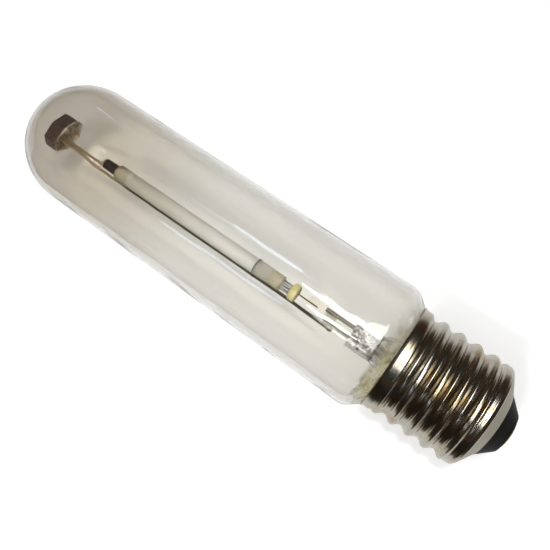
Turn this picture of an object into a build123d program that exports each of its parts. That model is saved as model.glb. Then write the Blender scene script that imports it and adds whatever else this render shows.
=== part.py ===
from build123d import *
from math import acos, atan2, cos, degrees, hypot, radians, sin, sqrt, tan
import os

# High pressure sodium lamp with a tubular clear bulb on an E40 screw cap.
# The lamp lies along X: the dome points to -X and the cap to +X, with +Z up.
# The origin is the centre of the contact's end face. Lengths are in millimetres.

# Lamp
overall_length = 208.3
cap_height = 44.0

# Outer bulb
bulb_diameter = 48.0
glass_wall = 1.3
shoulder_length = 7.5
neck_diameter = 33.6
neck_depth = 17.0
neck_taper = 4.5

# Cap shell: E40 thread
thread_pitch = 6.35
thread_major = 39.3
thread_minor = 35.7
thread_phase = -91.3
end_diameter = 38.2
shell_wall = 0.4
lip_diameter = 40.2
lip_width = 1.0
rim_land = 1.4
end_land = 0.4
run_out = 2.4
stations_per_pitch = 8
cone_depth = 4.1
cone_corner = 1.6
mouth_diameter = 24.6

# Insulator and contact
insulator_height = 6.0
insulator_flange = 2.4
insulator_back = 3.9
insulator_tip_diameter = 14.8
contact_diameter = 11.2
contact_thickness = 0.8
boss_diameter = 4.0
boss_length = 2.4
eyelet_diameter = 1.8
lead_recess = 0.4
solder_recess = 0.15
solder_depth = 1.5

# Mount: everything on the stem is carried a little off the lamp's axis
mount_offset = 1.3
post_pitch = 4.0
post_shift = 0.25
post_diameter = 1.4
lead_diameter = 0.6
seal_diameter = 0.8
seal_length = 4.0
post_embedment = 4.0

# Stem
press_reach = 16.0
press_length = 7.5
press_width = 10.4
press_thickness = 6.0
stem_blend = 3.0
stem_wall = 1.2
flare_lip = 1.2
exhaust_diameter = 3.3
exhaust_wall = 0.45
exhaust_end = 15.5
blowhole_diameter = 1.2
blowhole_mouth = 1.0

# Leads to the contact and to the shell
slot_width = 1.0
slot_length = 4.2
side_turn = 2.2
lead_bend = 1.0
solder_radius = 1.6
solder_rise = 1.1
solder_station = 1.5
cement_clearance = 0.05
cement_setback = 3.0
cement_recess = 0.2
rim_clearance = 0.35

# Feed from post_a to the arc tube
post_a_reach = 12.0
post_b_reach = 10.8
strap_thickness = 0.2
strap_width = 2.8
strap_shift = 0.4
strap_overlap = 5.0
strap_length = 13.2
strap_slant = 1.0
feed_diameter = 0.5
feed_inset = 0.3
feed_tail = 5.2
feed_bend = 1.0
feed_step = 3.0
feed_lap = 2.4
bead_gap = 3.1
bead_diameter = 6.6
bead_thickness = 2.9
bead_round = 0.7
bead_seat = 0.6

# Arc tube
arc_gap = 4.1
arc_diameter = 6.0
arc_wall = 0.55
plug_length = 5.2
niobium_diameter = 4.1
niobium_wall = 0.25
niobium_disc = 0.5
niobium_reach = 6.6
niobium_inset = 1.0
frit_diameter = 5.4
frit_thickness = 0.3
electrode_diameter = 0.9
electrode_reach = 9.0
coil_turns = 4
coil_wire = 0.7
coil_pitch = 0.66
coil_setback = 1.0
tie_diameter = 0.3
tie_station = 11.3

# Frame rod, pin and strap
rod_diameter = 1.24
rod_side = 2.3
rod_drop = 3.7
rod_lean = 16.8
rod_lap = 3.6
rod_joggle = 10.0
rod_bend = 5.0
rod_seat = 1.4
rod_margin = 1.5
nugget_radius = 1.05
pin_diameter = 1.3
pin_inset = 3.6
pin_lean = 17.1
pin_straight = 2.7
pin_joggle = 11.0
conductor_diameter = 0.45
conductor_lap = 3.0
conductor_step = 2.6
conductor_slant = 0.7
conductor_bend = 0.8
conductor_turn = 31.4

# Band at the top of the frame rod
band_sides = 7
band_breadth = 15.8
band_height = 10.8
band_width = 6.5
band_strip = 0.25
band_gap = 20.0
dome_clearance = 6.1
band_bend = 0.6
band_turn = 41.0
band_shift = 0.3
band_lift = 0.4

# Derived stations along the lamp
bulb_radius = bulb_diameter / 2
neck_radius = neck_diameter / 2
rim_x = -cap_height
dome_x = -overall_length
shoulder_x = rim_x - shoulder_length
neck_x = rim_x + neck_taper
neck_end_x = rim_x + neck_depth
press_x = rim_x - press_reach
press_end_x = press_x + press_length
stem_x = press_end_x + stem_blend
axis_y = -mount_offset
pair_y = axis_y - post_shift
post_a_y = pair_y + post_pitch / 2
post_b_y = pair_y - post_pitch / 2
post_a_x = press_x - post_a_reach
post_b_x = press_x - post_b_reach
strap_x = post_a_x + strap_overlap - strap_length
bead_x = strap_x - bead_gap - bead_thickness
niobium_x = bead_x + bead_seat
arc_x = bead_x - arc_gap
band_x = dome_x + glass_wall + dome_clearance + band_width
niobium_top_x = band_x + band_gap
arc_top_x = niobium_top_x + niobium_reach
thread_radius = thread_major / 2
end_radius = end_diameter / 2
thread_swing = (thread_major - thread_minor) / 4
thread_start_x = rim_x + lip_width
mouth_x = -insulator_height
corner_x = mouth_x - cone_depth
thread_end_x = corner_x - cone_corner
neck_bore = neck_radius - glass_wall
flare_x = neck_end_x - flare_lip
post_radius = post_diameter / 2
rod_radius = rod_diameter / 2
lead_radius = lead_diameter / 2
niobium_radius = niobium_diameter / 2


# The shell's inner cone, where the insulator is moulded against it
cone_angle = atan2(end_radius - mouth_diameter / 2, cone_depth)
edge_x = mouth_x - shell_wall * sin(cone_angle)
edge_radius = mouth_diameter / 2 - shell_wall * cos(cone_angle)


def under(radius):
    """Height of the side lead's plane below the axis, at a distance from the axis."""
    return -sqrt(radius * radius - post_b_y * post_b_y)


def rod_along(points, bends, diameter):
    """Round rod along straight runs joined by arcs."""
    with BuildPart() as rod:
        with BuildLine() as route:
            FilletPolyline(*points, radius=bends)
        with BuildSketch(Plane(origin=route.line @ 0, z_dir=route.line % 0)):
            Circle(diameter / 2)
        sweep()
    return rod.part


def eased(share):
    """Smooth step from 0 to 1."""
    share = min(max(share, 0), 1)
    return share * share * (3 - 2 * share)


def thread_centre(x):
    """Where the rolled circle at a station has its centre, off the axis between the lands."""
    lead = eased((x - thread_start_x - rim_land) / run_out)
    tail = eased((thread_end_x - end_land - x) / run_out)
    turn = radians(360 * (x - rim_x) / thread_pitch + thread_phase)
    swing = thread_swing * lead * tail
    return swing * cos(turn), swing * sin(turn)


def thread_circle(x):
    """Radius of the rolled circle at a station: the crest's less its swing."""
    tail = eased((thread_end_x - end_land - x) / run_out)
    return end_radius + (thread_radius - end_radius) * tail - hypot(*thread_centre(x))


# Outer bulb: one blown envelope, a dome, a straight tube and a shoulder down to the neck.
dome_centre_x = dome_x + bulb_radius
shoulder_mid = (rim_x - shoulder_length * 0.15, thread_radius + 1.2)
with BuildPart() as outer_bulb:
    with BuildSketch(Plane.XY):
        with BuildLine():
            crown = RadiusArc((dome_x, 0), (dome_centre_x, bulb_radius), bulb_radius)
            barrel = Line(crown @ 1, (shoulder_x, bulb_radius))
            shoulder = Spline(
                barrel @ 1,
                shoulder_mid,
                (neck_x, neck_radius),
                tangents=[(1, 0), (1, 0)],
            )
            neck = Line(shoulder @ 1, (neck_end_x, neck_radius))
            lip = Line(neck @ 1, (neck_end_x, neck_bore))
            inner_neck = Line(lip @ 1, (neck_x, neck_bore))
            inner_shoulder = Spline(
                inner_neck @ 1,
                (shoulder_mid[0] - glass_wall * 0.6, shoulder_mid[1] - glass_wall * 0.75),
                (shoulder_x, bulb_radius - glass_wall),
                tangents=[(-1, 0), (-1, 0)],
            )
            bore = Line(inner_shoulder @ 1, (dome_centre_x, bulb_radius - glass_wall))
            inner_crown = RadiusArc(bore @ 1, (dome_x + glass_wall, 0), -(bulb_radius - glass_wall))
            Line(inner_crown @ 1, crown @ 0)
        make_face()
    revolve(axis=Axis.X)
outer_bulb.part.label = "outer_bulb"

# Cap shell: thin sheet rolled with the E40 thread. A cross-section of such a rolled thread is a
# circle carried round the axis, so the threaded length is lofted through eccentric circles.
thread_count = round((thread_end_x - thread_start_x) / thread_pitch * stations_per_pitch)
stations = [
    thread_start_x + (thread_end_x - thread_start_x) * i / thread_count for i in range(thread_count + 1)
]
with BuildPart() as cap_shell:
    for x in stations:
        with BuildSketch(Plane.YZ.offset(x)):
            with Locations(thread_centre(x)):
                Circle(thread_circle(x))
    loft()
    for x in stations:
        with BuildSketch(Plane.YZ.offset(x)):
            with Locations(thread_centre(x)):
                Circle(thread_circle(x) - shell_wall)
    loft(mode=Mode.SUBTRACT)
    with BuildSketch(Plane.XY):
        with BuildLine():
            Polyline(
                (rim_x, lip_diameter / 2),
                (rim_x + lip_width, thread_radius),
                (rim_x + lip_width, thread_radius - shell_wall),
                (rim_x, lip_diameter / 2 - shell_wall),
                close=True,
            )
        make_face()
    revolve(axis=Axis.X)
    with BuildSketch(Plane.XY) as end_cup:
        with BuildLine():
            Polyline(
                (thread_end_x, end_radius),
                (corner_x, end_radius),
                (mouth_x, mouth_diameter / 2),
                (edge_x, edge_radius),
                (corner_x - shell_wall * tan(cone_angle / 2), end_radius - shell_wall),
                (thread_end_x, end_radius - shell_wall),
                close=True,
            )
        make_face()
        fillet(end_cup.vertices().sort_by_distance((corner_x, end_radius))[0], cone_corner)
        fillet(
            end_cup.vertices().sort_by_distance((corner_x, end_radius - shell_wall))[0],
            cone_corner - shell_wall,
        )
    revolve(axis=Axis.X)
    with Locations((rim_x + slot_length / 2, post_b_y, under(thread_radius))):
        Box(slot_length, slot_width, thread_radius / 2, mode=Mode.SUBTRACT)
cap_shell.part.label = "cap_shell"

# Insulator: black glass moulded in the shell's mouth, with a flange inside the cone.
with BuildPart() as cap_insulator:
    with BuildSketch(Plane.XY):
        with BuildLine():
            Polyline(
                (mouth_x - insulator_back, boss_diameter / 2),
                (mouth_x - insulator_back, edge_radius + insulator_flange * sin(cone_angle)),
                (edge_x - insulator_flange * cos(cone_angle), edge_radius + insulator_flange * sin(cone_angle)),
                (edge_x, edge_radius),
                (mouth_x, mouth_diameter / 2),
                (-contact_thickness, insulator_tip_diameter / 2),
                (-contact_thickness, boss_diameter / 2),
                close=True,
            )
        make_face()
    revolve(axis=Axis.X)
cap_insulator.part.label = "cap_insulator"

# Centre contact: brass disc with a hollow boss that the lead comes up through.
with BuildPart() as centre_contact:
    with BuildSketch(Plane.XY) as contact_profile:
        with BuildLine():
            Polyline(
                (-contact_thickness - boss_length, eyelet_diameter / 2),
                (-contact_thickness - boss_length, boss_diameter / 2),
                (-contact_thickness, boss_diameter / 2),
                (-contact_thickness, contact_diameter / 2),
                (0, contact_diameter / 2),
                (0, eyelet_diameter / 2),
                close=True,
            )
        make_face()
        fillet(
            contact_profile.vertices().sort_by_distance((0, contact_diameter / 2))[0],
            contact_thickness / 2,
        )
    revolve(axis=Axis.X)
centre_contact.part.label = "centre_contact"

# Solder in the contact's eyelet, round the end of the lead.
with BuildPart() as contact_solder:
    with BuildSketch(Plane.XY):
        with BuildLine():
            Polyline(
                (-solder_depth, lead_radius),
                (-solder_depth, eyelet_diameter / 2),
                (-solder_recess, eyelet_diameter / 2),
                (-solder_recess, 0),
                (-lead_recess, 0),
                (-lead_recess, lead_radius),
                close=True,
            )
        make_face()
    revolve(axis=Axis.X)
contact_solder.part.label = "contact_solder"

# Capping cement: fills the ring between the glass neck and the thread roots, and the wedge
# between the bulb's shoulder and the shell's rim.
root_radius = thread_minor / 2 - shell_wall - cement_clearance
rim_bore = thread_radius - shell_wall - rim_clearance
wedge_x = thread_start_x + cement_recess
with BuildPart() as capping_cement:
    with BuildSketch(Plane.XY):
        with BuildLine():
            Polyline(
                (neck_end_x - cement_setback, neck_radius),
                (neck_end_x - cement_setback, root_radius),
                (thread_start_x + rim_land + run_out * 0.75, root_radius),
                (thread_start_x + rim_land, rim_bore),
                (wedge_x, rim_bore),
                (wedge_x, neck_radius),
                close=True,
            )
        make_face()
    revolve(axis=Axis.X)
    with BuildSketch(Plane.XY):
        with BuildLine():
            flank = Spline(
                (shoulder_x, bulb_radius),
                shoulder_mid,
                (neck_x, neck_radius),
                tangents=[(1, 0), (1, 0)],
            )
            Polyline(flank @ 1, (neck_x, 0), (shoulder_x, 0), flank @ 0)
        make_face()
    revolve(axis=Axis.X, mode=Mode.SUBTRACT)
    with Locations((neck_x, post_b_y, under(thread_radius))):
        Box(neck_depth * 2, slot_width, thread_radius / 2, mode=Mode.SUBTRACT)
capping_cement.part.label = "capping_cement"

# Lead-in posts: two stiff rods that stand out of the press.
lead_in_x = press_x + post_embedment
with BuildPart() as post_a:
    with BuildSketch(Plane.YZ.offset(post_a_x)):
        with Locations((post_a_y, 0)):
            Circle(post_radius)
    extrude(amount=lead_in_x - post_a_x)
post_a.part.label = "post_a"

with BuildPart() as post_b:
    with BuildSketch(Plane.YZ.offset(post_b_x)):
        with Locations((post_b_y, 0)):
            Circle(post_radius)
    extrude(amount=lead_in_x - post_b_x)
post_b.part.label = "post_b"

# Seal lengths of the two lead-ins, gripped by the pressed glass.
outer_lead_x = lead_in_x + seal_length
with BuildPart() as lead_seals:
    with BuildSketch(Plane.YZ.offset(lead_in_x)):
        with Locations((post_a_y, 0), (post_b_y, 0)):
            Circle(seal_diameter / 2)
    extrude(amount=seal_length)
lead_seals.part.label = "lead_seals"

# Centre lead: from the press through the stem to the contact's eyelet.
with BuildPart() as centre_lead:
    add(
        rod_along(
            [
                (outer_lead_x, post_a_y, 0),
                (mouth_x - insulator_back - lead_bend * 4, post_a_y, 0),
                (mouth_x - insulator_back, 0, 0),
                (-lead_recess, 0, 0),
            ],
            lead_bend,
            lead_diameter,
        )
    )
centre_lead.part.label = "centre_lead"

# Side lead: out of the flare, back along the neck and up through a slot in the shell's rim.
side_z = under(neck_radius + lead_radius)
with BuildPart() as side_lead:
    add(
        rod_along(
            [
                (outer_lead_x, post_b_y, 0),
                (neck_end_x + side_turn, post_b_y, 0),
                (neck_end_x + side_turn, post_b_y, side_z),
                (neck_x + lead_diameter, post_b_y, side_z),
                (rim_x + solder_station, post_b_y, under(thread_radius + lead_radius)),
            ],
            lead_bend,
            lead_diameter,
        )
    )
side_lead.part.label = "side_lead"

# Side solder: a dab that joins the side lead to the outside of the shell, beside its rim.
with BuildPart() as side_solder:
    with Locations((rim_x + solder_station, post_b_y, under(thread_radius + solder_rise - solder_radius))):
        Sphere(solder_radius)
    with BuildSketch(Plane.YZ.offset(rim_x - solder_radius)):
        Circle(thread_radius)
    extrude(amount=solder_radius * 4, mode=Mode.SUBTRACT)
    add(cap_shell.part, mode=Mode.SUBTRACT)
    add(side_lead.part, mode=Mode.SUBTRACT)
side_solder.part.label = "side_solder"

# Glass stem: the pinched press, a short blend to a tube, and the flare that closes the neck.
stem_radius = press_width / 2
blowhole_x = press_end_x + blowhole_diameter
with BuildPart() as glass_stem:
    with BuildSketch(Plane.YZ.offset(press_x)):
        with Locations((axis_y, 0)):
            RectangleRounded(press_width, press_thickness, press_thickness / 3)
    extrude(amount=press_length)
    with BuildSketch(Plane.YZ.offset(press_end_x)):
        with Locations((axis_y, 0)):
            RectangleRounded(press_width, press_thickness, press_thickness / 3)
    with BuildSketch(Plane.YZ.offset(stem_x)):
        with Locations((axis_y, 0)):
            Circle(stem_radius)
    loft()
    with BuildSketch(Plane.YZ.offset(stem_x)):
        with Locations((axis_y, 0)):
            Circle(stem_radius)
    with BuildSketch(Plane.YZ.offset(flare_x)):
        Circle(neck_bore)
    loft()
    with BuildSketch(Plane.YZ.offset(stem_x)):
        with Locations((axis_y, 0)):
            Circle(stem_radius - stem_wall)
    with BuildSketch(Plane.YZ.offset(flare_x)):
        Circle(neck_bore - stem_wall)
    loft(mode=Mode.SUBTRACT)
    with BuildSketch(Plane.YZ.offset(flare_x)):
        Circle(neck_bore)
        Circle(neck_bore - stem_wall, mode=Mode.SUBTRACT)
    extrude(amount=flare_lip)
    with BuildSketch(Plane.YZ.offset(blowhole_x)):
        with Locations((pair_y, 0)):
            Circle(blowhole_diameter / 2)
    extrude(amount=stem_x - blowhole_x, mode=Mode.SUBTRACT)
    with BuildSketch(Plane.XY):
        with Locations((blowhole_x, pair_y)):
            Circle(blowhole_mouth / 2)
    extrude(amount=press_width, mode=Mode.SUBTRACT)
    add(post_a.part, mode=Mode.SUBTRACT)
    add(post_b.part, mode=Mode.SUBTRACT)
    add(lead_seals.part, mode=Mode.SUBTRACT)
    add(centre_lead.part, mode=Mode.SUBTRACT)
    add(side_lead.part, mode=Mode.SUBTRACT)
glass_stem.part.label = "glass_stem"

# Exhaust tube: the pumping tube, fused to the stem and drawn to a closed tip.
exhaust_radius = exhaust_diameter / 2
with BuildPart() as exhaust_tube:
    with BuildSketch(Plane.XY.shift_origin((0, pair_y, 0))):
        with BuildLine():
            Polyline(
                (stem_x, exhaust_radius - exhaust_wall),
                (stem_x, exhaust_radius),
                (-exhaust_end - exhaust_diameter, exhaust_radius),
                (-exhaust_end, exhaust_wall),
                (-exhaust_end, 0),
                (-exhaust_end - exhaust_wall * 3, 0),
                (-exhaust_end - exhaust_diameter, exhaust_radius - exhaust_wall),
                close=True,
            )
        make_face()
    revolve(axis=Axis((0, pair_y, 0), (1, 0, 0)))
exhaust_tube.part.label = "exhaust_tube"

# Feed strap: bright ribbon welded behind post_a.
strap_y = post_a_y - strap_shift
strap_top_z = -post_radius
with BuildPart() as feed_strap:
    with BuildSketch(Plane.XY.offset(strap_top_z - strap_thickness)):
        with BuildLine():
            Polyline(
                (strap_x, strap_y - strap_width / 2),
                (strap_x + strap_length, strap_y - strap_width / 2),
                (strap_x + strap_length, strap_y + strap_width / 2),
                (strap_x + strap_slant, strap_y + strap_width / 2),
                close=True,
            )
        make_face()
    extrude(amount=strap_thickness)
feed_strap.part.label = "feed_strap"

# Feed wire: lies on the ribbon, runs through the bead and is welded inside the niobium tube.
feed_radius = feed_diameter / 2
feed_y = strap_y - strap_width / 2 + feed_radius + feed_inset
feed_z = strap_top_z + feed_radius
feed_offset = hypot(feed_y - axis_y, feed_z)
feed_grow = (niobium_radius - niobium_wall - feed_radius) / feed_offset
weld_y = axis_y + (feed_y - axis_y) * feed_grow
weld_z = feed_z * feed_grow
with BuildPart() as feed_wire:
    add(
        rod_along(
            [
                (strap_x + feed_tail, feed_y, feed_z),
                (bead_x - feed_radius, feed_y, feed_z),
                (bead_x - feed_radius - feed_step, weld_y, weld_z),
                (bead_x - feed_radius - feed_step - feed_lap, weld_y, weld_z),
            ],
            feed_bend,
            feed_diameter,
        )
    )
feed_wire.part.label = "feed_wire"

# Insulator bead: a rounded ceramic disc on the end of the base niobium tube.
mount_axis = Axis((0, axis_y, 0), (1, 0, 0))
with BuildPart() as insulator_bead:
    with BuildSketch(Plane.YZ.offset(bead_x)):
        with Locations((axis_y, 0)):
            Circle(bead_diameter / 2)
    extrude(amount=bead_thickness)
    fillet(insulator_bead.edges().filter_by(GeomType.CIRCLE), bead_round)
    with BuildSketch(Plane.YZ.offset(bead_x)):
        with Locations((axis_y, 0)):
            Circle(niobium_radius)
    extrude(amount=bead_seat, mode=Mode.SUBTRACT)
    add(feed_wire.part, mode=Mode.SUBTRACT)
insulator_bead.part.label = "insulator_bead"

# Arc tube: a plain tube of sintered alumina.
with BuildPart() as arc_tube:
    with BuildSketch(Plane.YZ.offset(arc_top_x)):
        with Locations((axis_y, 0)):
            Circle(arc_diameter / 2)
            Circle(arc_diameter / 2 - arc_wall, mode=Mode.SUBTRACT)
    extrude(amount=arc_x - arc_top_x)
arc_tube.part.label = "arc_tube"


def ring_part(x, length, outer, inner):
    """Plain collar on the mount's axis."""
    with BuildPart() as collar:
        with BuildSketch(Plane.YZ.offset(x)):
            with Locations((axis_y, 0)):
                Circle(outer)
                Circle(inner, mode=Mode.SUBTRACT)
        extrude(amount=length)
    return collar.part


def niobium_part(open_x, disc_x):
    """Drawn niobium tube whose inner end is closed round the electrode."""
    toward = 1 if disc_x > open_x else -1
    with BuildPart() as tube:
        with BuildSketch(Plane.YZ.offset(min(open_x, disc_x))):
            with Locations((axis_y, 0)):
                Circle(niobium_radius)
                Circle(electrode_diameter / 2, mode=Mode.SUBTRACT)
        extrude(amount=abs(disc_x - open_x))
        with BuildSketch(Plane.YZ.offset(open_x)):
            with Locations((axis_y, 0)):
                Circle(niobium_radius - niobium_wall)
        extrude(amount=toward * (abs(disc_x - open_x) - niobium_disc), mode=Mode.SUBTRACT)
    return tube.part


def coil_part(start_x):
    """Close-wound coil of tungsten wire, as rings side by side."""
    with BuildPart() as coil:
        with BuildSketch(Plane.XY.shift_origin((0, axis_y, 0))):
            for i in range(coil_turns):
                with Locations((start_x + coil_pitch * i, electrode_diameter / 2 + coil_wire / 2)):
                    Circle(coil_wire / 2)
        revolve(axis=mount_axis)
    return coil.part


base_disc_x = arc_x - plug_length - niobium_inset
top_disc_x = arc_top_x + plug_length + niobium_inset

# Plugs: alumina collars sintered into both ends of the arc tube.
with BuildPart() as base_plug:
    add(ring_part(arc_x - plug_length, plug_length, arc_diameter / 2 - arc_wall, niobium_radius))
base_plug.part.label = "base_plug"

with BuildPart() as top_plug:
    add(ring_part(arc_top_x, plug_length, arc_diameter / 2 - arc_wall, niobium_radius))
top_plug.part.label = "top_plug"

# Frit: glazed sealing rings where the niobium tubes enter the plugs.
with BuildPart() as base_frit:
    add(ring_part(arc_x, frit_thickness, frit_diameter / 2, niobium_radius))
base_frit.part.label = "base_frit"

with BuildPart() as top_frit:
    add(ring_part(arc_top_x - frit_thickness, frit_thickness, frit_diameter / 2, niobium_radius))
top_frit.part.label = "top_frit"

# Niobium feedthroughs: the base one carries the bead, the top one is open for the pin.
with BuildPart() as base_niobium:
    add(niobium_part(niobium_x, base_disc_x))
base_niobium.part.label = "base_niobium"

with BuildPart() as top_niobium:
    add(niobium_part(niobium_top_x, top_disc_x))
top_niobium.part.label = "top_niobium"

# Electrodes: tungsten rods brazed into the niobium discs, each with a coil behind its tip.
with BuildPart() as base_electrode:
    with BuildSketch(Plane.YZ.offset(base_disc_x - electrode_reach)):
        with Locations((axis_y, 0)):
            Circle(electrode_diameter / 2)
    extrude(amount=electrode_reach + niobium_disc)
base_electrode.part.label = "base_electrode"

with BuildPart() as top_electrode:
    with BuildSketch(Plane.YZ.offset(top_disc_x - niobium_disc)):
        with Locations((axis_y, 0)):
            Circle(electrode_diameter / 2)
    extrude(amount=electrode_reach + niobium_disc)
top_electrode.part.label = "top_electrode"

with BuildPart() as base_coil:
    add(coil_part(base_disc_x - electrode_reach + coil_setback + coil_wire / 2))
base_coil.part.label = "base_coil"

with BuildPart() as top_coil:
    add(
        coil_part(
            top_disc_x + electrode_reach - coil_setback - coil_wire / 2 - coil_pitch * (coil_turns - 1)
        )
    )
top_coil.part.label = "top_coil"

# Band: a strip bent into a flat many-sided ring round the upper end of the frame rod.
corner_angles = [radians(band_turn + 360 / band_sides * i) for i in range(band_sides)]
band_corners = [
    (axis_y + band_shift + band_breadth / 2 * cos(a), band_lift + band_height / 2 * sin(a))
    for a in corner_angles
]
with BuildPart() as top_band:
    with BuildSketch(Plane.YZ.offset(band_x - band_width)) as band_sketch:
        with BuildLine():
            Polyline(*band_corners, close=True)
        make_face()
        fillet(band_sketch.vertices(), band_bend)
        offset(amount=-band_strip, mode=Mode.SUBTRACT)
    extrude(amount=band_width)
top_band.part.label = "top_band"

# Frame rod: from post_b along the arc tube to the band's lowest side, with a joggle at each end.
rod_reach = post_radius + rod_radius
rod_start_y = post_b_y - rod_reach * cos(radians(rod_lean))
rod_start_z = -rod_reach * sin(radians(rod_lean))
rod_run_y = axis_y - rod_side
rod_run_z = -rod_drop
seat_y, seat_z = band_corners[4]
seat_angle = atan2(band_corners[5][1] - seat_z, band_corners[5][0] - seat_y)
seat_depth = band_strip + rod_radius
rod_end_y = seat_y + rod_seat * cos(seat_angle) - seat_depth * sin(seat_angle)
rod_end_z = seat_z + rod_seat * sin(seat_angle) + seat_depth * cos(seat_angle)
rod_start_x = post_b_x + rod_lap
with BuildPart() as frame_rod:
    add(
        rod_along(
            [
                (rod_start_x, rod_start_y, rod_start_z),
                (post_b_x - rod_radius, rod_start_y, rod_start_z),
                (bead_x + bead_thickness + rod_radius, rod_run_y, rod_run_z),
                (niobium_top_x - rod_bend, rod_run_y, rod_run_z),
                (niobium_top_x - rod_bend - rod_joggle, rod_end_y, rod_end_z),
                (band_x - band_width + rod_margin, rod_end_y, rod_end_z),
            ],
            rod_bend,
            rod_diameter,
        )
    )
frame_rod.part.label = "frame_rod"

# Rod weld: the nugget that joins the rod's end to post_b.
with BuildPart() as rod_weld:
    with Locations((rod_start_x, rod_start_y, rod_start_z)):
        Sphere(nugget_radius)
    add(frame_rod.part, mode=Mode.SUBTRACT)
    add(post_b.part, mode=Mode.SUBTRACT)
rod_weld.part.label = "rod_weld"

# Top pin: lies in the open end of the top niobium tube and is welded along the rod's upper end.
pin_radius = pin_diameter / 2
pin_offset = niobium_radius - niobium_wall - pin_radius
pin_y = axis_y - pin_offset * cos(radians(pin_lean))
pin_z = -pin_offset * sin(radians(pin_lean))
pin_rise = pin_radius - rod_radius
pin_pitch = sqrt((rod_radius + pin_radius) ** 2 - pin_rise**2)
pin_end_y = rod_end_y + pin_pitch * cos(seat_angle) - pin_rise * sin(seat_angle)
pin_end_z = rod_end_z + pin_pitch * sin(seat_angle) + pin_rise * cos(seat_angle)
with BuildPart() as top_pin:
    add(
        rod_along(
            [
                (niobium_top_x + pin_inset, pin_y, pin_z),
                (niobium_top_x - pin_straight, pin_y, pin_z),
                (niobium_top_x - pin_straight - pin_joggle, pin_end_y, pin_end_z),
                (band_x - band_width + rod_margin, pin_end_y, pin_end_z),
            ],
            rod_bend,
            pin_diameter,
        )
    )
top_pin.part.label = "top_pin"

# Top strap: thin conductor from the top niobium tube across to the frame rod.
lap_radius = niobium_radius + conductor_diameter / 2
lap_y = axis_y + lap_radius * cos(radians(conductor_turn))
lap_z = -lap_radius * sin(radians(conductor_turn))
cross_length = hypot(rod_run_y - lap_y, rod_run_z - lap_z)
cross_part = (cross_length - rod_radius) / cross_length
with BuildPart() as top_strap:
    add(
        rod_along(
            [
                (niobium_top_x + conductor_lap, lap_y, lap_z),
                (niobium_top_x - conductor_step, lap_y, lap_z),
                (
                    niobium_top_x - conductor_step - conductor_slant,
                    lap_y + (rod_run_y - lap_y) * cross_part,
                    lap_z + (rod_run_z - lap_z) * cross_part,
                ),
            ],
            conductor_bend,
            conductor_diameter,
        )
    )
    add(frame_rod.part, mode=Mode.SUBTRACT)
top_strap.part.label = "top_strap"

# Tie wire: one turn that holds the arc tube against the frame rod.
tie_radius = tie_diameter / 2
tie_big = arc_diameter / 2 + tie_radius
tie_small = rod_radius + tie_radius
tie_span = hypot(rod_side, rod_drop)
tie_angle = degrees(atan2(-rod_drop, -rod_side))
tie_flank = degrees(acos((tie_big - tie_small) / tie_span))
with BuildPart() as tie_wire:
    with BuildLine(Plane.YZ.offset(arc_x - tie_station)) as tie_route:
        over_tube = CenterArc((axis_y, 0), tie_big, tie_angle + tie_flank, 360 - 2 * tie_flank)
        over_rod = CenterArc((rod_run_y, rod_run_z), tie_small, tie_angle - tie_flank, 2 * tie_flank)
        Line(over_tube @ 1, over_rod @ 0)
        Line(over_rod @ 1, over_tube @ 0)
    with BuildSketch(Plane(origin=over_tube @ 0, z_dir=over_tube % 0)):
        Circle(tie_radius)
    sweep(path=tie_route.wires()[0])
tie_wire.part.label = "tie_wire"

os.makedirs("parts", exist_ok=True)
pieces = [
    outer_bulb,
    glass_stem,
    exhaust_tube,
    cap_shell,
    capping_cement,
    cap_insulator,
    centre_contact,
    contact_solder,
    centre_lead,
    side_lead,
    side_solder,
    post_a,
    post_b,
    lead_seals,
    feed_strap,
    feed_wire,
    insulator_bead,
    base_niobium,
    top_niobium,
    arc_tube,
    base_plug,
    top_plug,
    base_frit,
    top_frit,
    base_electrode,
    top_electrode,
    base_coil,
    top_coil,
    tie_wire,
    frame_rod,
    rod_weld,
    top_pin,
    top_strap,
    top_band,
]
for piece in pieces:
    export_step(piece.part, f"parts/{piece.part.label}.step")
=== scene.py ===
import math

import bmesh
import bpy
from mathutils import Matrix, Vector


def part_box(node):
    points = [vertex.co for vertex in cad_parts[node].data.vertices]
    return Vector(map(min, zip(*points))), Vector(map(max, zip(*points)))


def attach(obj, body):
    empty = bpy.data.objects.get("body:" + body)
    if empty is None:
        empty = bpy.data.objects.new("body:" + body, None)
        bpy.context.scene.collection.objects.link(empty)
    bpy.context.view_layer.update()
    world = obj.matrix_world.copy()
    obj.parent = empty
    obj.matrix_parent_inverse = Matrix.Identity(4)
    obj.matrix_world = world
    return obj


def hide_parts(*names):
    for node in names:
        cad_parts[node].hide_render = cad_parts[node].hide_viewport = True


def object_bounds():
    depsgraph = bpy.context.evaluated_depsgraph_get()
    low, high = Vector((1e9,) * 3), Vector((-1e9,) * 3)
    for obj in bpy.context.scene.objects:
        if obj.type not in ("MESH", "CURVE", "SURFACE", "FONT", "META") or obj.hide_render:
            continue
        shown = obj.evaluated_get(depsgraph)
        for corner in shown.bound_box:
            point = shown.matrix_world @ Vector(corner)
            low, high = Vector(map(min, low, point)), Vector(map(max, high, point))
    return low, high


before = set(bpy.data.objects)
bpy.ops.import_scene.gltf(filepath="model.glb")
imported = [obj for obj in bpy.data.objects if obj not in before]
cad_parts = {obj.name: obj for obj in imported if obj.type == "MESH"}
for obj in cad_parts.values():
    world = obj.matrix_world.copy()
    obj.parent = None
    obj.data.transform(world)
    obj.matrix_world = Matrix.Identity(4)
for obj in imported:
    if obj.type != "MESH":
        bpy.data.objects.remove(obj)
cad_low, cad_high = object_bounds()
mm = 0.001
collection = bpy.context.scene.collection

# Glass stem: lead glass tube, pinched flat while hot round the two lead-ins, so the press is
# rippled and crazed with light and dark flecks. Its flare is fused to the rim of the bulb's neck.


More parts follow.
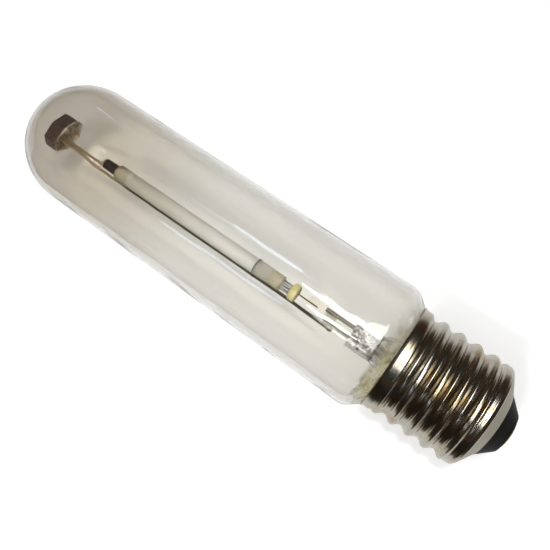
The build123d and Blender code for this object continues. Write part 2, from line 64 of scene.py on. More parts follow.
class Wire:
    """A shader socket. Arithmetic on it adds Math nodes to its material."""

    def __init__(self, finish, socket):
        self.finish = finish
        self.socket = socket

    def maths(self, operation, first, second):
        inputs = {0: first, 1: second}
        return self.finish.node("ShaderNodeMath", {"operation": operation}, inputs)

    def __add__(self, other):
        return self.maths("ADD", self, other)

    def __radd__(self, other):
        return self.maths("ADD", other, self)

    def __sub__(self, other):
        return self.maths("SUBTRACT", self, other)

    def __rsub__(self, other):
        return self.maths("SUBTRACT", other, self)

    def __mul__(self, other):
        return self.maths("MULTIPLY", self, other)

    def __rmul__(self, other):
        return self.maths("MULTIPLY", other, self)

    def __gt__(self, other):
        return self.maths("GREATER_THAN", self, other)

    def between(self, low, high):
        """0 below low, 1 above high and smooth between them. high may be the smaller."""
        settings = {"interpolation_type": "SMOOTHSTEP"}
        return self.finish.node("ShaderNodeMapRange", settings, {"Value": self, 1: low, 2: high})


class Finish:
    """A material, or the world, under construction in the object's own coordinates."""

    def __init__(self, name, store=bpy.data.materials, end="ShaderNodeOutputMaterial"):
        self.material = store.new(name)
        self.material.use_nodes = True
        self.tree = self.material.node_tree
        self.tree.nodes.clear()
        self.end = self.tree.nodes.new(end)
        self.place = self.node("ShaderNodeTexCoord", output="Object")

    def node(self, kind, settings=None, inputs=None, output=0):
        """Adds a node, sets it up, then feeds its sockets, and returns one of its outputs."""
        made = self.tree.nodes.new(kind)
        for key, value in (settings or {}).items():
            setattr(made, key, value)
        for key, value in (inputs or {}).items():
            socket = made.inputs[key]
            if isinstance(value, Wire):
                self.tree.links.new(value.socket, socket)
            elif isinstance(value, tuple) and socket.type == "RGBA":
                socket.default_value = (*value, 1)
            else:
                socket.default_value = value
        return Wire(self, made.outputs[output])

    def axis(self, letter):
        """One of the object's coordinates, in metres."""
        return self.node("ShaderNodeSeparateXYZ", inputs={0: self.place}, output=letter)

    def stretched(self, along=1.0, across=1.0):
        """The place with the lamp's length and the two directions across it scaled apart."""
        scale = {"Vector": self.place, "Scale": (along, across, across)}
        return self.node("ShaderNodeMapping", inputs=scale)

    def noise(self, size, place=None, detail=4.0, roughness=0.55):
        """Noise whose features are about size metres across."""
        inputs = {
            "Vector": place or self.place,
            "Scale": 1 / size,
            "Detail": detail,
            "Roughness": roughness,
        }
        return self.node("ShaderNodeTexNoise", inputs=inputs)

    def wave(self, along, length):
        """0 to 1 and back over each length."""
        turn = along * (math.tau / length)
        return self.node("ShaderNodeMath", {"operation": "SINE"}, {0: turn}) * 0.5 + 0.5

    def vectors(self, operation, first, second=(0, 0, 0), output="Vector"):
        """Vector maths, for what has three parts."""
        inputs = {0: first, 1: second}
        return self.node("ShaderNodeVectorMath", {"operation": operation}, inputs, output)

    def mix(self, factor, first, second):
        """A blend of two colours. The node keeps its colours in sockets 6 and 7, and output 2."""
        inputs = {0: factor, 6: first, 7: second}
        return self.node("ShaderNodeMix", {"data_type": "RGBA"}, inputs, 2)

    def bump(self, height, distance, strength=1.0):
        """A normal from a height between 0 and 1, over a real distance in metres."""
        inputs = {"Height": height, "Distance": distance, "Strength": strength}
        return self.node("ShaderNodeBump", inputs=inputs)

    def ray(self, kind):
        """1 for one kind of ray and 0 for the others."""
        return self.node("ShaderNodeLightPath", output=kind)

    def surface(self, shader):
        self.tree.links.new(shader.socket, self.end.inputs["Surface"])
        return self.material

    def principled(self, **inputs):
        named = {key.replace("_", " "): value for key, value in inputs.items()}
        return self.surface(self.node("ShaderNodeBsdfPrincipled", inputs=named))

    def clear(self, colour, roughness, ior, shade, normal=None, clouded=None, inner=None):
        """Glass that bends light, and lets the lamps through.

        shade is the colour of its shadow, clouded is a share of it and the shader that this share
        shows, and inner is the colour and density of what the glass absorbs.
        """
        inputs = {
            "Base Color": colour,
            "Roughness": roughness,
            "IOR": ior,
            "Transmission Weight": 1.0,
        }
        if normal:
            inputs["Normal"] = normal
        solid = self.node("ShaderNodeBsdfPrincipled", inputs=inputs)
        if clouded:
            share, cloud = clouded
            solid = self.node("ShaderNodeMixShader", inputs={0: share, 1: solid, 2: cloud})
        if inner:
            dimmed = {"Color": inner[0], "Density": inner[1]}
            absorbed = self.node("ShaderNodeVolumeAbsorption", inputs=dimmed)
            self.tree.links.new(absorbed.socket, self.end.inputs["Volume"])
        passed = self.node("ShaderNodeBsdfTransparent", inputs={"Color": shade})
        mixed = {0: self.ray("Is Shadow Ray"), 1: solid, 2: passed}
        return self.surface(self.node("ShaderNodeMixShader", inputs=mixed))


def srgb(red, green, blue):
    """A colour as a screen shows it, from 0 to 255, as the linear numbers a shader takes."""
    parts = [c / 255 for c in (red, green, blue)]
    return tuple(c / 12.92 if c <= 0.04045 else ((c + 0.055) / 1.055) ** 2.4 for c in parts)


touching = 0.001 * mm


def set_in(mesh, node):
    """Puts a finished mesh in a CAD node's place."""
    piece = bpy.data.objects.new(mesh.name, mesh)
    collection.objects.link(piece)
    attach(piece, "root")
    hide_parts(node)


def dressed(node, material, crease=30):
    """A smooth copy of a CAD node, creased only where its faces turn by more than some degrees."""
    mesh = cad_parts[node].data.copy()
    mesh.name = node + "_dressed"
    solid = bmesh.new()
    solid.from_mesh(mesh)
    bmesh.ops.remove_doubles(solid, verts=solid.verts, dist=touching)
    bmesh.ops.dissolve_degenerate(solid, edges=solid.edges, dist=touching / 2)
    solid.to_mesh(mesh)
    solid.free()
    if "custom_normal" in mesh.attributes:
        mesh.attributes.remove(mesh.attributes["custom_normal"])
    mesh.shade_smooth()
    mesh.set_sharp_from_angle(angle=math.radians(crease))
    mesh.materials.clear()
    mesh.materials.append(material)
    set_in(mesh, node)


press_length = 8 * mm
stem = Finish("pressed_stem_glass")
ripple = stem.noise(1.5 * mm, stem.stretched(0.8, 1.0), detail=2)
press_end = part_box("glass_stem")[0].x + press_length
on_press = stem.axis("X").between(press_end + 2.5 * mm, press_end)
flecks = stem.noise(0.9 * mm, detail=3, roughness=0.6)
dark_flecks = stem.noise(1.3 * mm, stem.stretched(0.7, 1.0), detail=2).between(0.56, 0.62)
rippled = stem.bump(ripple * (0.15 + 0.85 * on_press), 2.2 * mm)
fleck = {
    "Base Color": stem.mix(dark_flecks, srgb(236, 236, 234), srgb(74, 60, 46)),
    "Roughness": 0.12,
    "Normal": rippled,
}
clouded_share = 0.85 * on_press * flecks.between(0.45, 0.56)
stem_material = stem.clear(
    colour=stem.mix(on_press * ripple, srgb(240, 240, 238), srgb(232, 228, 218)),
    roughness=0.02,
    ior=1.52,
    shade=srgb(244, 244, 242),
    normal=rippled,
    clouded=(clouded_share, stem.node("ShaderNodeBsdfPrincipled", inputs=fleck)),
)
dressed("glass_stem", stem_material, 40)
dressed("exhaust_tube", stem_material, 40)

# Lead-ins: nickel-plated steel posts inside the bulb, copper-coated seal wires gripped by the
# press, and soft tails of tinned copper that run down to the cap.
post = Finish("post_nickel")
post_lines = post.noise(0.25 * mm, post.stretched(0.15, 1.0), detail=5)
post_material = post.principled(
    Base_Color=post.mix(post_lines, srgb(84, 82, 76), srgb(150, 146, 134)),
    Metallic=1.0,
    Roughness=0.24 + 0.25 * post_lines,
    Normal=post.bump(post_lines, 0.05 * mm),
)
dressed("post_a", post_material)
dressed("post_b", post_material)

seal = Finish("seal_wire_copper")
seal_film = seal.noise(0.8 * mm)
seal_material = seal.principled(
    Base_Color=seal.mix(seal_film, srgb(168, 92, 30), srgb(214, 142, 58)),
    Metallic=0.6,
    Roughness=0.35 + 0.2 * seal_film,
)
dressed("lead_seals", seal_material)

lead = Finish("lead_wire_tinned")
lead_film = lead.noise(0.6 * mm, lead.stretched(0.4, 1.0))
lead_material = lead.principled(
    Base_Color=lead.mix(lead_film, srgb(150, 128, 104), srgb(196, 180, 158)),
    Metallic=1.0,
    Roughness=0.28 + 0.2 * lead_film,
)
dressed("centre_lead", lead_material)
dressed("side_lead", lead_material)

# Feed: a bright nickel ribbon spot-welded to one post, and the thin wire that runs from it
# through the bead into the base niobium tube.
ribbon = Finish("ribbon_nickel")
rolled = ribbon.noise(0.35 * mm, ribbon.stretched(0.12, 1.0))
weld_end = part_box("post_a")[0].x
scorched = ribbon.axis("X").between(weld_end - 0.3 * mm, weld_end + 1.4 * mm)
ribbon_bright = ribbon.mix(rolled, srgb(206, 200, 186), srgb(232, 228, 216))
ribbon_material = ribbon.principled(
    Base_Color=ribbon.mix(scorched * 0.6, ribbon_bright, srgb(120, 108, 88)),
    Metallic=1.0,
    Roughness=0.22 + 0.2 * rolled,
    Normal=ribbon.bump(rolled, 0.04 * mm),
)
dressed("feed_strap", ribbon_material)

feed = Finish("feed_wire_dark")
feed_film = feed.noise(0.5 * mm, feed.stretched(0.4, 1.0))
feed_material = feed.principled(
    Base_Color=feed.mix(feed_film, srgb(72, 64, 48), srgb(126, 114, 84)),
    Metallic=1.0,
    Roughness=0.3 + 0.2 * feed_film,
)
dressed("feed_wire", feed_material)

# Insulator bead: dry-pressed steatite, matte and yellow-green, with a fine grain. It is threaded
# on the feed wire and steadies it at the mouth of the base niobium tube.
bead = Finish("bead_steatite")
grain = bead.noise(0.3 * mm, detail=6, roughness=0.7)
stain = bead.noise(2.5 * mm)
bead_clean = bead.mix(grain, srgb(190, 182, 132), srgb(206, 199, 158))
bead_material = bead.principled(
    Base_Color=bead.mix(stain.between(0.35, 0.7), bead_clean, srgb(180, 170, 104)),
    Roughness=0.78 + 0.15 * grain,
    Normal=bead.bump(grain, 0.06 * mm),
)
dressed("insulator_bead", bead_material, 50)

# Niobium feedthroughs: deep-drawn tubes brazed through the plugs. The base one is still bright,
# with drawing lines, and its colour carries painted bright and dark reflection stripes along it;
# the hot top one has gone a very dark brown.
base_tube = Finish("niobium_bright")
drawing_lines_and_painted_stripes = base_tube.noise(0.3 * mm, base_tube.stretched(0.08, 1.0), detail=5)
base_tube_material = base_tube.principled(
    # Bright and dark stripes along the tube in its colour: a painted reflection.
    Base_Color=base_tube.mix(
        drawing_lines_and_painted_stripes.between(0.42, 0.6), srgb(96, 92, 82), srgb(250, 248, 242)
    ),
    Metallic=0.7,
    Roughness=0.08 + 0.06 * drawing_lines_and_painted_stripes,
    Normal=base_tube.bump(drawing_lines_and_painted_stripes, 0.01 * mm),
)
dressed("base_niobium", base_tube_material, 35)

top_tube = Finish("niobium_dark")
soot = top_tube.noise(0.7 * mm, top_tube.stretched(0.5, 1.0), detail=5)
top_tube_material = top_tube.principled(
    Base_Color=top_tube.mix(soot, srgb(34, 24, 22), srgb(66, 50, 42)),
    Metallic=0.7,
    Roughness=0.34 + 0.25 * soot,
    Normal=top_tube.bump(soot, 0.05 * mm),
)
dressed("top_niobium", top_tube_material, 35)

# Arc tube: sintered alumina, white with a translucent wall. The plugs are sintered in, with
# amber sealing frit on their faces. The ends are browned where they have run hottest, and the
# half toward the dome is painted greyer, a painted shade. Coils on the tungsten electrodes sit just
# inside.
arc_low, arc_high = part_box("arc_tube")
alumina = Finish("alumina_translucent")
speckle = alumina.noise(0.5 * mm, detail=6, roughness=0.7)
cloud = alumina.noise(6 * mm, alumina.stretched(0.5, 1.0))
arc_x = alumina.axis("X")
browned = arc_x.between(arc_low.x + 7.0 * mm, arc_low.x + 1.5 * mm) * (0.5 + cloud)
olive = arc_x.between(arc_high.x - 6.2 * mm, arc_high.x - 4.4 * mm)
base_end = arc_x.between(arc_high.x - 11.8 * mm, arc_high.x - 11.2 * mm)
top_end = arc_x.between(arc_low.x + 6.5 * mm, arc_low.x + 4.5 * mm)
see_through = base_end + 0.8 * top_end
# Painted shade: the half toward the dome is painted greyer.
dome_half_painted_shade = arc_x.between(arc_low.x + 60 * mm, arc_low.x + 4 * mm)
alumina_colour = alumina.mix(speckle, srgb(224, 218, 205), srgb(236, 231, 220))
alumina_colour = alumina.mix(see_through * 0.7, alumina_colour, srgb(147, 144, 131))
alumina_colour = alumina.mix(dome_half_painted_shade * 0.85, alumina_colour, srgb(164, 159, 144))
alumina_colour = alumina.mix(olive * 0.8, alumina_colour, srgb(160, 152, 118))
alumina_colour = alumina.mix(browned * 0.85, alumina_colour, srgb(150, 130, 100))
alumina_material = alumina.principled(
    Base_Color=alumina_colour,
    Alpha=0.8 - 0.4 * see_through,
    Roughness=0.5 + 0.1 * speckle,
    IOR=1.76,
    Specular_IOR_Level=0.3,
    Subsurface_Weight=1.0,
    Subsurface_Radius=(1.0, 1.0, 1.0),
    Subsurface_Scale=3 * mm,
    Normal=alumina.bump(speckle, 0.03 * mm),
)
dressed("arc_tube", alumina_material)

plug = Finish("plug_alumina")
plug_grain = plug.noise(0.4 * mm, detail=6)
plug_material = plug.principled(
    Base_Color=plug.mix(plug_grain, srgb(196, 188, 164), srgb(222, 216, 198)),
    Roughness=0.7,
    Normal=plug.bump(plug_grain, 0.04 * mm),
)
dressed("base_plug", plug_material)
dressed("top_plug", plug_material)

frit = Finish("frit_amber")
bubbles = frit.noise(0.35 * mm, detail=5)
frit_material = frit.principled(
    Base_Color=frit.mix(bubbles, srgb(96, 78, 44), srgb(150, 130, 84)),
    Roughness=0.3,
    Normal=frit.bump(bubbles, 0.08 * mm),
)
dressed("base_frit", frit_material)
dressed("top_frit", frit_material)

tungsten = Finish("tungsten_grey")
etched = tungsten.noise(0.2 * mm, detail=5)
tungsten_material = tungsten.principled(
    Base_Color=tungsten.mix(etched, srgb(70, 68, 66), srgb(112, 110, 106)),
    Metallic=1.0,
    Roughness=0.4 + 0.2 * etched,
    Normal=tungsten.bump(etched, 0.03 * mm),
)
for name in ("base_electrode", "top_electrode", "base_coil", "top_coil", "tie_wire"):
    dressed(name, tungsten_material)

# Frame: a stiff steel rod with a tanned oxide film, which turns dark along the arc tube, the pin
# that steadies the top tube, the thin conductor between them and the weld on the post.
rod = Finish("frame_rod_steel")
rod_lines = rod.noise(0.4 * mm, rod.stretched(0.1, 1.0), detail=5)
rod_x = rod.axis("X")
tanned = rod_x.between(arc_low.x + 6 * mm, arc_low.x + 1 * mm)
rod_plain = rod.mix(rod_lines, srgb(64, 56, 42), srgb(112, 102, 78))
rod_tan = rod.mix(rod_lines, srgb(134, 114, 84), srgb(196, 178, 146))
rod_material = rod.principled(
    Base_Color=rod.mix(tanned, rod_plain, rod_tan),
    Metallic=1.0 - 0.45 * tanned,
    Roughness=0.2 + 0.25 * rod_lines,
    Normal=rod.bump(rod_lines, 0.05 * mm),
)
for name in ("frame_rod", "top_pin", "top_strap"):
    dressed(name, rod_material)

nugget = Finish("weld_nugget")
beaded = nugget.noise(0.8 * mm, detail=5)
nugget_material = nugget.principled(
    Base_Color=nugget.mix(beaded, srgb(96, 92, 66), srgb(152, 148, 112)),
    Metallic=1.0,
    Roughness=0.36 + 0.2 * beaded,
    Normal=nugget.bump(beaded, 0.25 * mm),
)
dressed("rod_weld", nugget_material, 50)

# Band: a steel strip folded into a seven-sided ring. Outside it is painted almost black, burnt
# steel and painted shade together; inside it is painted tan, a temper colour and painted light
# together; and its rim is painted bright in patches, wear and a painted highlight together.
band_low, band_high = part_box("top_band")
band_middle = (band_low + band_high) / 2
band = Finish("band_burnt")
burn = band.noise(1.8 * mm, detail=5)
rim_wear_and_painted_glint = band.noise(0.6 * mm, detail=5)
roundness = (0, 1, (band_high.y - band_low.y) / (band_high.z - band_low.z))
facing = band.node("ShaderNodeNewGeometry", output="Normal")
from_middle = band.vectors("SUBTRACT", band.place, tuple(band_middle))
outwards = band.vectors("MULTIPLY", from_middle, roundness)
is_outside = band.vectors("DOT_PRODUCT", facing, outwards, "Value") > 0.0
# Dark outside and tan inside: burn and temper colours with painted shade and painted light.
outside_burn_and_painted_shade = band.mix(burn.between(0.35, 0.7), srgb(62, 46, 43), srgb(88, 68, 58))
inside_temper_and_painted_light = band.mix(burn.between(0.3, 0.75), srgb(140, 122, 96), srgb(206, 192, 168))
# Bright rim patches: wear with a painted highlight.
near_rim = band.axis("X").between(band_high.x - 0.5 * mm, band_high.x - 0.15 * mm)
rim_patches_and_painted_glint = near_rim * rim_wear_and_painted_glint.between(0.5, 0.58)
band_material = band.principled(
    Base_Color=band.mix(rim_patches_and_painted_glint, band.mix(is_outside, inside_temper_and_painted_light, outside_burn_and_painted_shade), srgb(214, 202, 172)),
    Metallic=0.45,
    Roughness=0.28 + 0.3 * burn,
    Normal=band.bump(burn, 0.12 * mm),
)
dressed("top_band", band_material, 25)

# Outer bulb: hard glass tube with a round dome, drawn in to a neck that is fused to the flare.
# The drawn glass is faintly wavy, painted greyer toward the dome, a painted shade, and painted
# smoky brown in the neck beside the cap, partly a smoke stain and partly painted shade of the cap.
bulb_low, bulb_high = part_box("outer_bulb")
bulb_radius = bulb_high.z
wall = 1.3 * mm
neck_radius = 16.8 * mm
neck_length = 12.5 * mm
shoulder_length = 12.0 * mm
shoulder_skew = 1.18
shoulder_lean = 2.4
dome_steps = 28
shoulder_steps = 16
barrel_steps = 24
spin_steps = 144


def bulb_profile(depth):
    """Points of the bulb's section from the dome's tip to the neck's end, depth inside its skin."""
    dome_x = bulb_low.x + bulb_radius
    neck_x = bulb_high.x - neck_length
    shoulder_x = neck_x - shoulder_length
    points = []
    for i in range(dome_steps):
        turn = math.pi / 2 * i / dome_steps
        radius = bulb_radius - depth
        points.append(Vector((dome_x - radius * math.cos(turn), 0, radius * math.sin(turn))))
    for i in range(barrel_steps):
        x = dome_x + (shoulder_x - dome_x) * i / barrel_steps
        points.append(Vector((x, 0, bulb_radius - depth)))
    for i in range(shoulder_steps + 1):
        part = i / shoulder_steps
        bent = part**shoulder_skew
        drop = bent * bent * (3 - 2 * bent)
        radius = bulb_radius + (neck_radius - bulb_radius) * drop
        slope = drop * (1 - drop) * shoulder_lean
        inward = Vector((-slope, 0, -1)).normalized() * depth
        points.append(Vector((shoulder_x + shoulder_length * part, 0, radius)) + inward)
    points.append(Vector((bulb_high.x, 0, neck_radius - depth)))
    return points


blown = bmesh.new()
section = [blown.verts.new(p) for p in bulb_profile(0) + bulb_profile(wall)[::-1]]
for first, second in zip(section, section[1:]):
    blown.edges.new((first, second))
bmesh.ops.spin(
    blown,
    geom=blown.verts[:] + blown.edges[:],
    cent=(0, 0, 0),
    axis=(1, 0, 0),
    angle=math.tau,
    steps=spin_steps,
    use_merge=True,
)
bmesh.ops.remove_doubles(blown, verts=blown.verts, dist=0.01 * mm)
bmesh.ops.recalc_face_normals(blown, faces=blown.faces)
bulb_mesh = bpy.data.meshes.new("bulb_glass")
blown.to_mesh(bulb_mesh)
blown.free()
bulb_mesh.shade_smooth()
bulb_mesh.set_sharp_from_angle(angle=math.radians(40))

bulb = Finish("bulb_clear_glass")
waviness = bulb.noise(12 * mm, bulb.stretched(0.8, 1.0), detail=1.5, roughness=0.4)
bulb_x = bulb.axis("X")
# Painted shade: the glass is painted greyer toward the dome.
dome_painted_shade = bulb_x.between(bulb_low.x + 88.3 * mm, bulb_low.x + 13.3 * mm)
frosted = bulb_x.between(bulb_high.x - 22 * mm, bulb_high.x - 16 * mm)
rim_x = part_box("cap_shell")[0].x
near_cap = bulb_x.between(rim_x - 5.5 * mm, rim_x - 0.5 * mm)
# Brown film in the neck, heaviest on the lower side: a smoke stain with painted shade of the cap.
smoke_and_shade_noise = bulb.noise(6 * mm, detail=3)
painted_shade_side = 0.3 + 0.7 * bulb.axis("Y").between(2 * mm, -12 * mm)
smoke_and_painted_shade = near_cap * smoke_and_shade_noise.between(0.42, 0.62) * painted_shade_side
smoke_film_and_painted_shade = {
    "Base Color": bulb.mix(smoke_and_shade_noise.between(0.55, 0.68), srgb(210, 203, 168), srgb(124, 111, 40)),
    "Roughness": 0.4,
}
bulb_material = bulb.clear(
    colour=bulb.mix(dome_painted_shade, srgb(235, 234, 231), srgb(221, 216, 208)),
    roughness=0.16 * frosted,
    ior=1.48,
    shade=srgb(238, 238, 237),
    normal=bulb.bump(waviness, 0.5 * mm, 0.4),
    clouded=(smoke_and_painted_shade * 0.75, bulb.node("ShaderNodeBsdfPrincipled", inputs=smoke_film_and_painted_shade)),
    inner=((0.5, 0.492, 0.466), 65),
)
bulb_mesh.materials.append(bulb_material)
set_in(bulb_mesh, "outer_bulb")

# Screw cap: thin nickel-plated brass rolled with the thread, cemented over the neck and turned in
# at its end to grip the insulator. Handling has tarnished the plate, and the rolls left faint
# lines round it. The side lead is soldered in a slot at the rim, the centre lead to the contact.
shell_low, shell_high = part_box("cap_shell")
pitch = 6.35 * mm
crest_radius = 19.65 * mm
root_radius = 17.85 * mm
land_radius = 19.1 * mm
mouth_radius = 12.3 * mm
sheet = 0.4 * mm
thread_from = shell_low.x + 1.0 * mm
thread_to = shell_high.x - 5.7 * mm
thread_lead = 1.4 * mm
thread_tail = 0.4 * mm
thread_ease = 2.4 * mm
thread_start = math.radians(-91.3)
corner_x = shell_high.x - 5.0 * mm
corner_round = 1.6 * mm
corner_steps = 6
cone_turn = math.radians(59)
slot_y = -3.58 * mm
slot_near = 0.3 * mm
slot_end = shell_low.x + 4.2 * mm
rings_per_pitch = 24
ring_steps = 120


def rolled_ring(x):
    """Centre and radius of the thread's round section, which is carried round the axis."""
    run_in = (x - thread_from - thread_lead) / thread_ease
    run_out = (thread_to - thread_tail - x) / thread_ease
    eased_in, eased_out = (min(max(share, 0), 1) for share in (run_in, run_out))
    eased_in, eased_out = (share * share * (3 - 2 * share) for share in (eased_in, eased_out))
    swing = (crest_radius - root_radius) / 2 * eased_in * eased_out
    turn = math.tau * (x - shell_low.x) / pitch + thread_start
    radius = land_radius + (crest_radius - land_radius) * eased_out - swing
    return (x, swing * math.cos(turn), swing * math.sin(turn)), radius


ring_count = round((thread_to - thread_from) / pitch * rings_per_pitch)
ring_gap = (thread_to - thread_from) / ring_count
sections = [((shell_low.x, 0, 0), shell_high.z)]
for i in range(ring_count + 1):
    sections.append(rolled_ring(thread_from + ring_gap * i))
for i in range(corner_steps + 1):
    turn = cone_turn * i / corner_steps
    centre = (corner_x + corner_round * math.sin(turn), 0, 0)
    sections.append((centre, land_radius - corner_round * (1 - math.cos(turn))))
sections.append(((shell_high.x, 0, 0), mouth_radius))
pressed = bmesh.new()
rings = []
for centre, radius in sections:
    across = Matrix.Translation(centre) @ Matrix.Rotation(math.pi / 2, 4, "Y")
    ring = bmesh.ops.create_circle(pressed, segments=ring_steps, radius=radius, matrix=across)
    rings.append(list({edge for vert in ring["verts"] for edge in vert.link_edges}))
for first, second in zip(rings, rings[1:]):
    bmesh.ops.bridge_loops(pressed, edges=first + second)
# The slot at the rim is as wide as the one column of faces whose middles are near its own.
in_slot = []
for face in pressed.faces:
    middle = face.calc_center_median()
    if middle.x < slot_end and middle.z < 0 and abs(middle.y - slot_y) < slot_near:
        in_slot.append(face)
bmesh.ops.delete(pressed, geom=in_slot, context="FACES")
bmesh.ops.recalc_face_normals(pressed, faces=pressed.faces)
bmesh.ops.solidify(pressed, geom=pressed.faces, thickness=sheet)
bmesh.ops.recalc_face_normals(pressed, faces=pressed.faces)
shell_mesh = bpy.data.meshes.new("threaded_shell")
pressed.to_mesh(shell_mesh)
pressed.free()
shell_mesh.shade_smooth()
shell_mesh.set_sharp_from_angle(angle=math.radians(35))

shell = Finish("plated_shell")
shell_x = shell.axis("X")
tarnish = shell.noise(7 * mm, shell.stretched(0.5, 1.0), detail=6, roughness=0.65)
uneven = shell.noise(4 * mm, shell.stretched(1.0, 0.002), detail=1)
rolled_lines = shell.wave(shell_x + uneven * (0.8 * mm), pitch / 4)
on_cone = shell_x.between(shell_high.x - 4.0 * mm, shell_high.x - 3.5 * mm)
on_thread = shell_x.between(shell_low.x + 1.5 * mm, shell_low.x + 5 * mm) * (1.0 - on_cone)
plate = shell.mix(tarnish.between(0.42, 0.62), srgb(172, 167, 156), srgb(156, 141, 114))
shell_material = shell.principled(
    Base_Color=shell.mix(on_cone, plate, srgb(166, 162, 148)),
    Metallic=1.0,
    Roughness=0.2 + 0.08 * tarnish + 0.31 * on_cone,
    Normal=shell.bump(rolled_lines * on_thread, 0.11 * mm),
)
shell_mesh.materials.append(shell_material)
set_in(shell_mesh, "cap_shell")

cement = Finish("capping_cement")
crumbs = cement.noise(0.7 * mm, detail=6, roughness=0.7)
cement_material = cement.principled(
    Base_Color=cement.mix(crumbs, srgb(186, 176, 124), srgb(222, 214, 186)),
    Roughness=0.9,
    Normal=cement.bump(crumbs, 0.2 * mm),
)
dressed("capping_cement", cement_material)

solder = Finish("solder_tin")
skin = solder.noise(0.9 * mm, detail=5)
solder_material = solder.principled(
    Base_Color=solder.mix(skin, srgb(150, 150, 146), srgb(204, 204, 198)),
    Metallic=1.0,
    Roughness=0.26 + 0.25 * skin,
    Normal=solder.bump(skin, 0.12 * mm),
)
dressed("side_solder", solder_material, 50)
dressed("contact_solder", solder_material, 50)

# Insulator and contact: black glass moulded in the mouth of the shell, glossy but for the mould's
# faint grain, with the stamped brass contact set in its end.
vitrite = Finish("insulator_black_glass")
mould = vitrite.noise(1.2 * mm, detail=5)
vitrite_material = vitrite.principled(
    Base_Color=vitrite.mix(mould, srgb(10, 10, 10), srgb(22, 21, 20)),
    Roughness=0.4 + 0.2 * mould,
    Specular_IOR_Level=0.06,
    Normal=vitrite.bump(mould, 0.08 * mm),
)
dressed("cap_insulator", vitrite_material)

contact = Finish("contact_brass")
rubbed = contact.noise(1.5 * mm, detail=6)
contact_material = contact.principled(
    Base_Color=contact.mix(rubbed, srgb(176, 142, 84), srgb(214, 184, 124)),
    Metallic=1.0,
    Roughness=0.24 + 0.25 * rubbed,
    Normal=contact.bump(rubbed, 0.05 * mm),
)
dressed("centre_contact", contact_material)

# Table and card: a plain pale table that the bulb lies on, which glows a little toward the camera,
# more farther from the bulb, and into the glass, where the glow is a painted pool of light that is
# brightest round the bulb. A dark card beside the bulb shows only in what the cap and the glass
# mirror.
table_size = 3.0
card_length = 312 * mm
card_height = card_length * 0.16


def studio_sheet(name, length, height, place, material):
    """A flat sheet of the studio, in a place given by a matrix."""
    panel = bmesh.new()
    half = Matrix.Diagonal((length / 2, height / 2, 1.0, 1.0))
    bmesh.ops.create_grid(panel, size=1.0, matrix=place @ half)
    mesh = bpy.data.meshes.new(name)
    panel.to_mesh(mesh)
    panel.free()
    mesh.materials.append(material)
    piece = bpy.data.objects.new(name, mesh)
    collection.objects.link(piece)
    return piece


table = Finish("pale_table")
bounced = (table.ray("Is Glossy Ray") + table.ray("Is Transmission Ray")) > 0.5
from_lamp = table.vectors("LENGTH", table.place, output="Value")
# Painted pool of light: the glow that glass and metal see is brightest round the bulb.
painted_light_pool = from_lamp.between(0.4, 0.12)
far_off = from_lamp.between(0.2, 0.9)
matte = table.node("ShaderNodeBsdfDiffuse", inputs={"Color": srgb(240, 240, 240)})
shine = (0.34 + 0.4 * far_off) * table.ray("Is Camera Ray") + 0.2 * painted_light_pool * bounced
shine_colour = table.mix(shine, (0.0, 0.0, 0.0), (1.0, 1.0, 1.0))
glow = table.node("ShaderNodeEmission", inputs={"Color": shine_colour, "Strength": 1.0})
table.surface(table.node("ShaderNodeAddShader", inputs={0: matte, 1: glow}))
under = Matrix.Translation((cad_low.x / 2, 0, cad_low.z - 0.05 * mm))
studio_sheet("table_top", table_size, table_size, under, table.material)

card = Finish("dark_card")
card_material = card.principled(Base_Color=srgb(36, 25, 13), Roughness=0.9)
beside = Matrix.Translation((-96 * mm, -54 * mm, 1 * mm)) @ Matrix.Rotation(math.pi / 2, 4, "X")
card_piece = studio_sheet("dark_card", card_length, card_height, beside, card_material)
card_piece.visible_camera = False
card_piece.visible_diffuse = False
card_piece.visible_transmission = False
card_piece.visible_shadow = False

# Room: plain light all round for what is matt. Metal and glass mirror low pale walls, brown ones
# above them and a dark ceiling, as in a photograph by a window, and the camera sees only white.
room = Finish("pale_room", bpy.data.worlds, "ShaderNodeOutputWorld")
height = room.axis("Z")
aside = room.node("ShaderNodeMath", {"operation": "ABSOLUTE"}, {0: room.axis("X")})
low_walls = room.mix(aside.between(0.5, 0.8), (0.36, 0.36, 0.35), (0.04, 0.03, 0.015))
walls = room.mix(height.between(0.0, 0.12), low_walls, (0.08, 0.042, 0.013))
shown = room.mix(height.between(0.2, 0.6), walls, (0.012, 0.01, 0.008))
plain = room.node("ShaderNodeBackground", inputs={"Color": (1.0, 0.99, 0.96), "Strength": 0.42})
mirrored = room.node("ShaderNodeBackground", inputs={"Color": shown, "Strength": 1.0})
white = room.node("ShaderNodeBackground", inputs={"Color": (1.0, 1.0, 1.0), "Strength": 1.0})
only_glossy = room.ray("Is Glossy Ray") - room.ray("Is Transmission Ray")
lit = room.node("ShaderNodeMixShader", inputs={0: only_glossy > 0.5, 1: plain, 2: mirrored})
room.surface(
    room.node("ShaderNodeMixShader", inputs={0: room.ray("Is Camera Ray"), 1: lit, 2: white})
)
bpy.context.scene.world = room.material

# Lamps: one long soft lamp almost straight above, which the cap and the glass mirror, two that
# only light and cast shadows, a small side lamp, a panel that only shows in the metal, and
# cooler windows that leave short streaks on the glass.
lamp_distance = 0.60
daylight = (0.66, 0.76, 1.0)


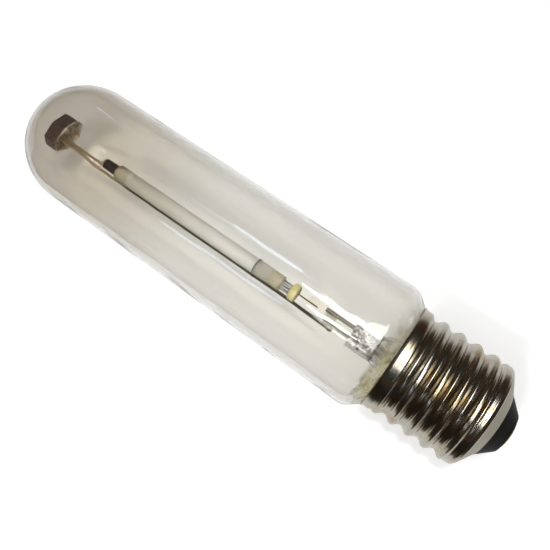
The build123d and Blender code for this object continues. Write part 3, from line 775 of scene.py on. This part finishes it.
def soft_lamp(name, over_x, degrees, size, power, colour=(1, 1, 1), mirrored=True, lights=True):
    """An oval lamp along the bulb, aimed at a point of its axis from so many degrees off top."""
    lean = math.radians(degrees)
    place = Vector((over_x, 0, 0)) + Vector((0, math.sin(lean), math.cos(lean))) * lamp_distance
    light = bpy.data.lights.new(name, "AREA")
    light.shape = "ELLIPSE"
    light.size, light.size_y = size
    light.energy = power
    light.color = colour
    holder = bpy.data.objects.new(name, light)
    holder.matrix_world = Matrix.Translation(place) @ Matrix.Rotation(-lean, 4, "X")
    holder.visible_glossy = mirrored
    holder.visible_diffuse = lights
    collection.objects.link(holder)


soft_lamp("long_soft_lamp", -0.022, -3.7, (0.29, 0.09), 1.0, lights=False)
soft_lamp("top_lamp", -0.08, -4.5, (0.10, 0.035), 0.95, mirrored=False)
soft_lamp("small_side_lamp", -0.12, -28.5, (0.08, 0.045), 0.2)
soft_lamp("shadow_lamp", -0.10, -38, (0.10, 0.06), 1.1, mirrored=False)
soft_lamp("ceiling_panel", 0.05, -5, (0.26, 0.62), 2.2, lights=False)
soft_lamp("far_window", -0.245, 13, (0.13, 0.055), 0.09, daylight)
soft_lamp("low_window", -0.29, -51, (0.22, 0.055), 0.12, daylight)
soft_lamp("end_window", -0.57, 54, (0.03, 0.016), 0.006, daylight)
soft_lamp("end_strip", -0.55, -85, (0.055, 0.018), 0.01, daylight)

# Camera: a normal lens about 20 cm above the cap, turned so that the bulb lies from the upper left
# to the lower right, and tilted a little toward the dome.
camera_place = Vector((-49.35, -61.3, 199.2)) * mm
camera_right = Vector((0.8063, 0.5915, 0))
camera_back = Vector((0.2112, -0.2877, 0.9342)).normalized()
camera_up = camera_back.cross(camera_right).normalized()
focal_pixels = 590
photo_pixels = 550
camera_data = bpy.data.cameras.new("camera")
camera_data.sensor_width = 36
camera_data.lens = focal_pixels / photo_pixels * camera_data.sensor_width
camera_data.clip_start = 5 * mm
camera_data.clip_end = 10
camera = bpy.data.objects.new("camera", camera_data)
turned = Matrix((camera_right, camera_up, camera_back)).transposed().to_4x4()
camera.matrix_world = Matrix.Translation(camera_place) @ turned
collection.objects.link(camera)
bpy.context.scene.camera = camera

bpy.context.scene.view_settings.view_transform = "Standard"
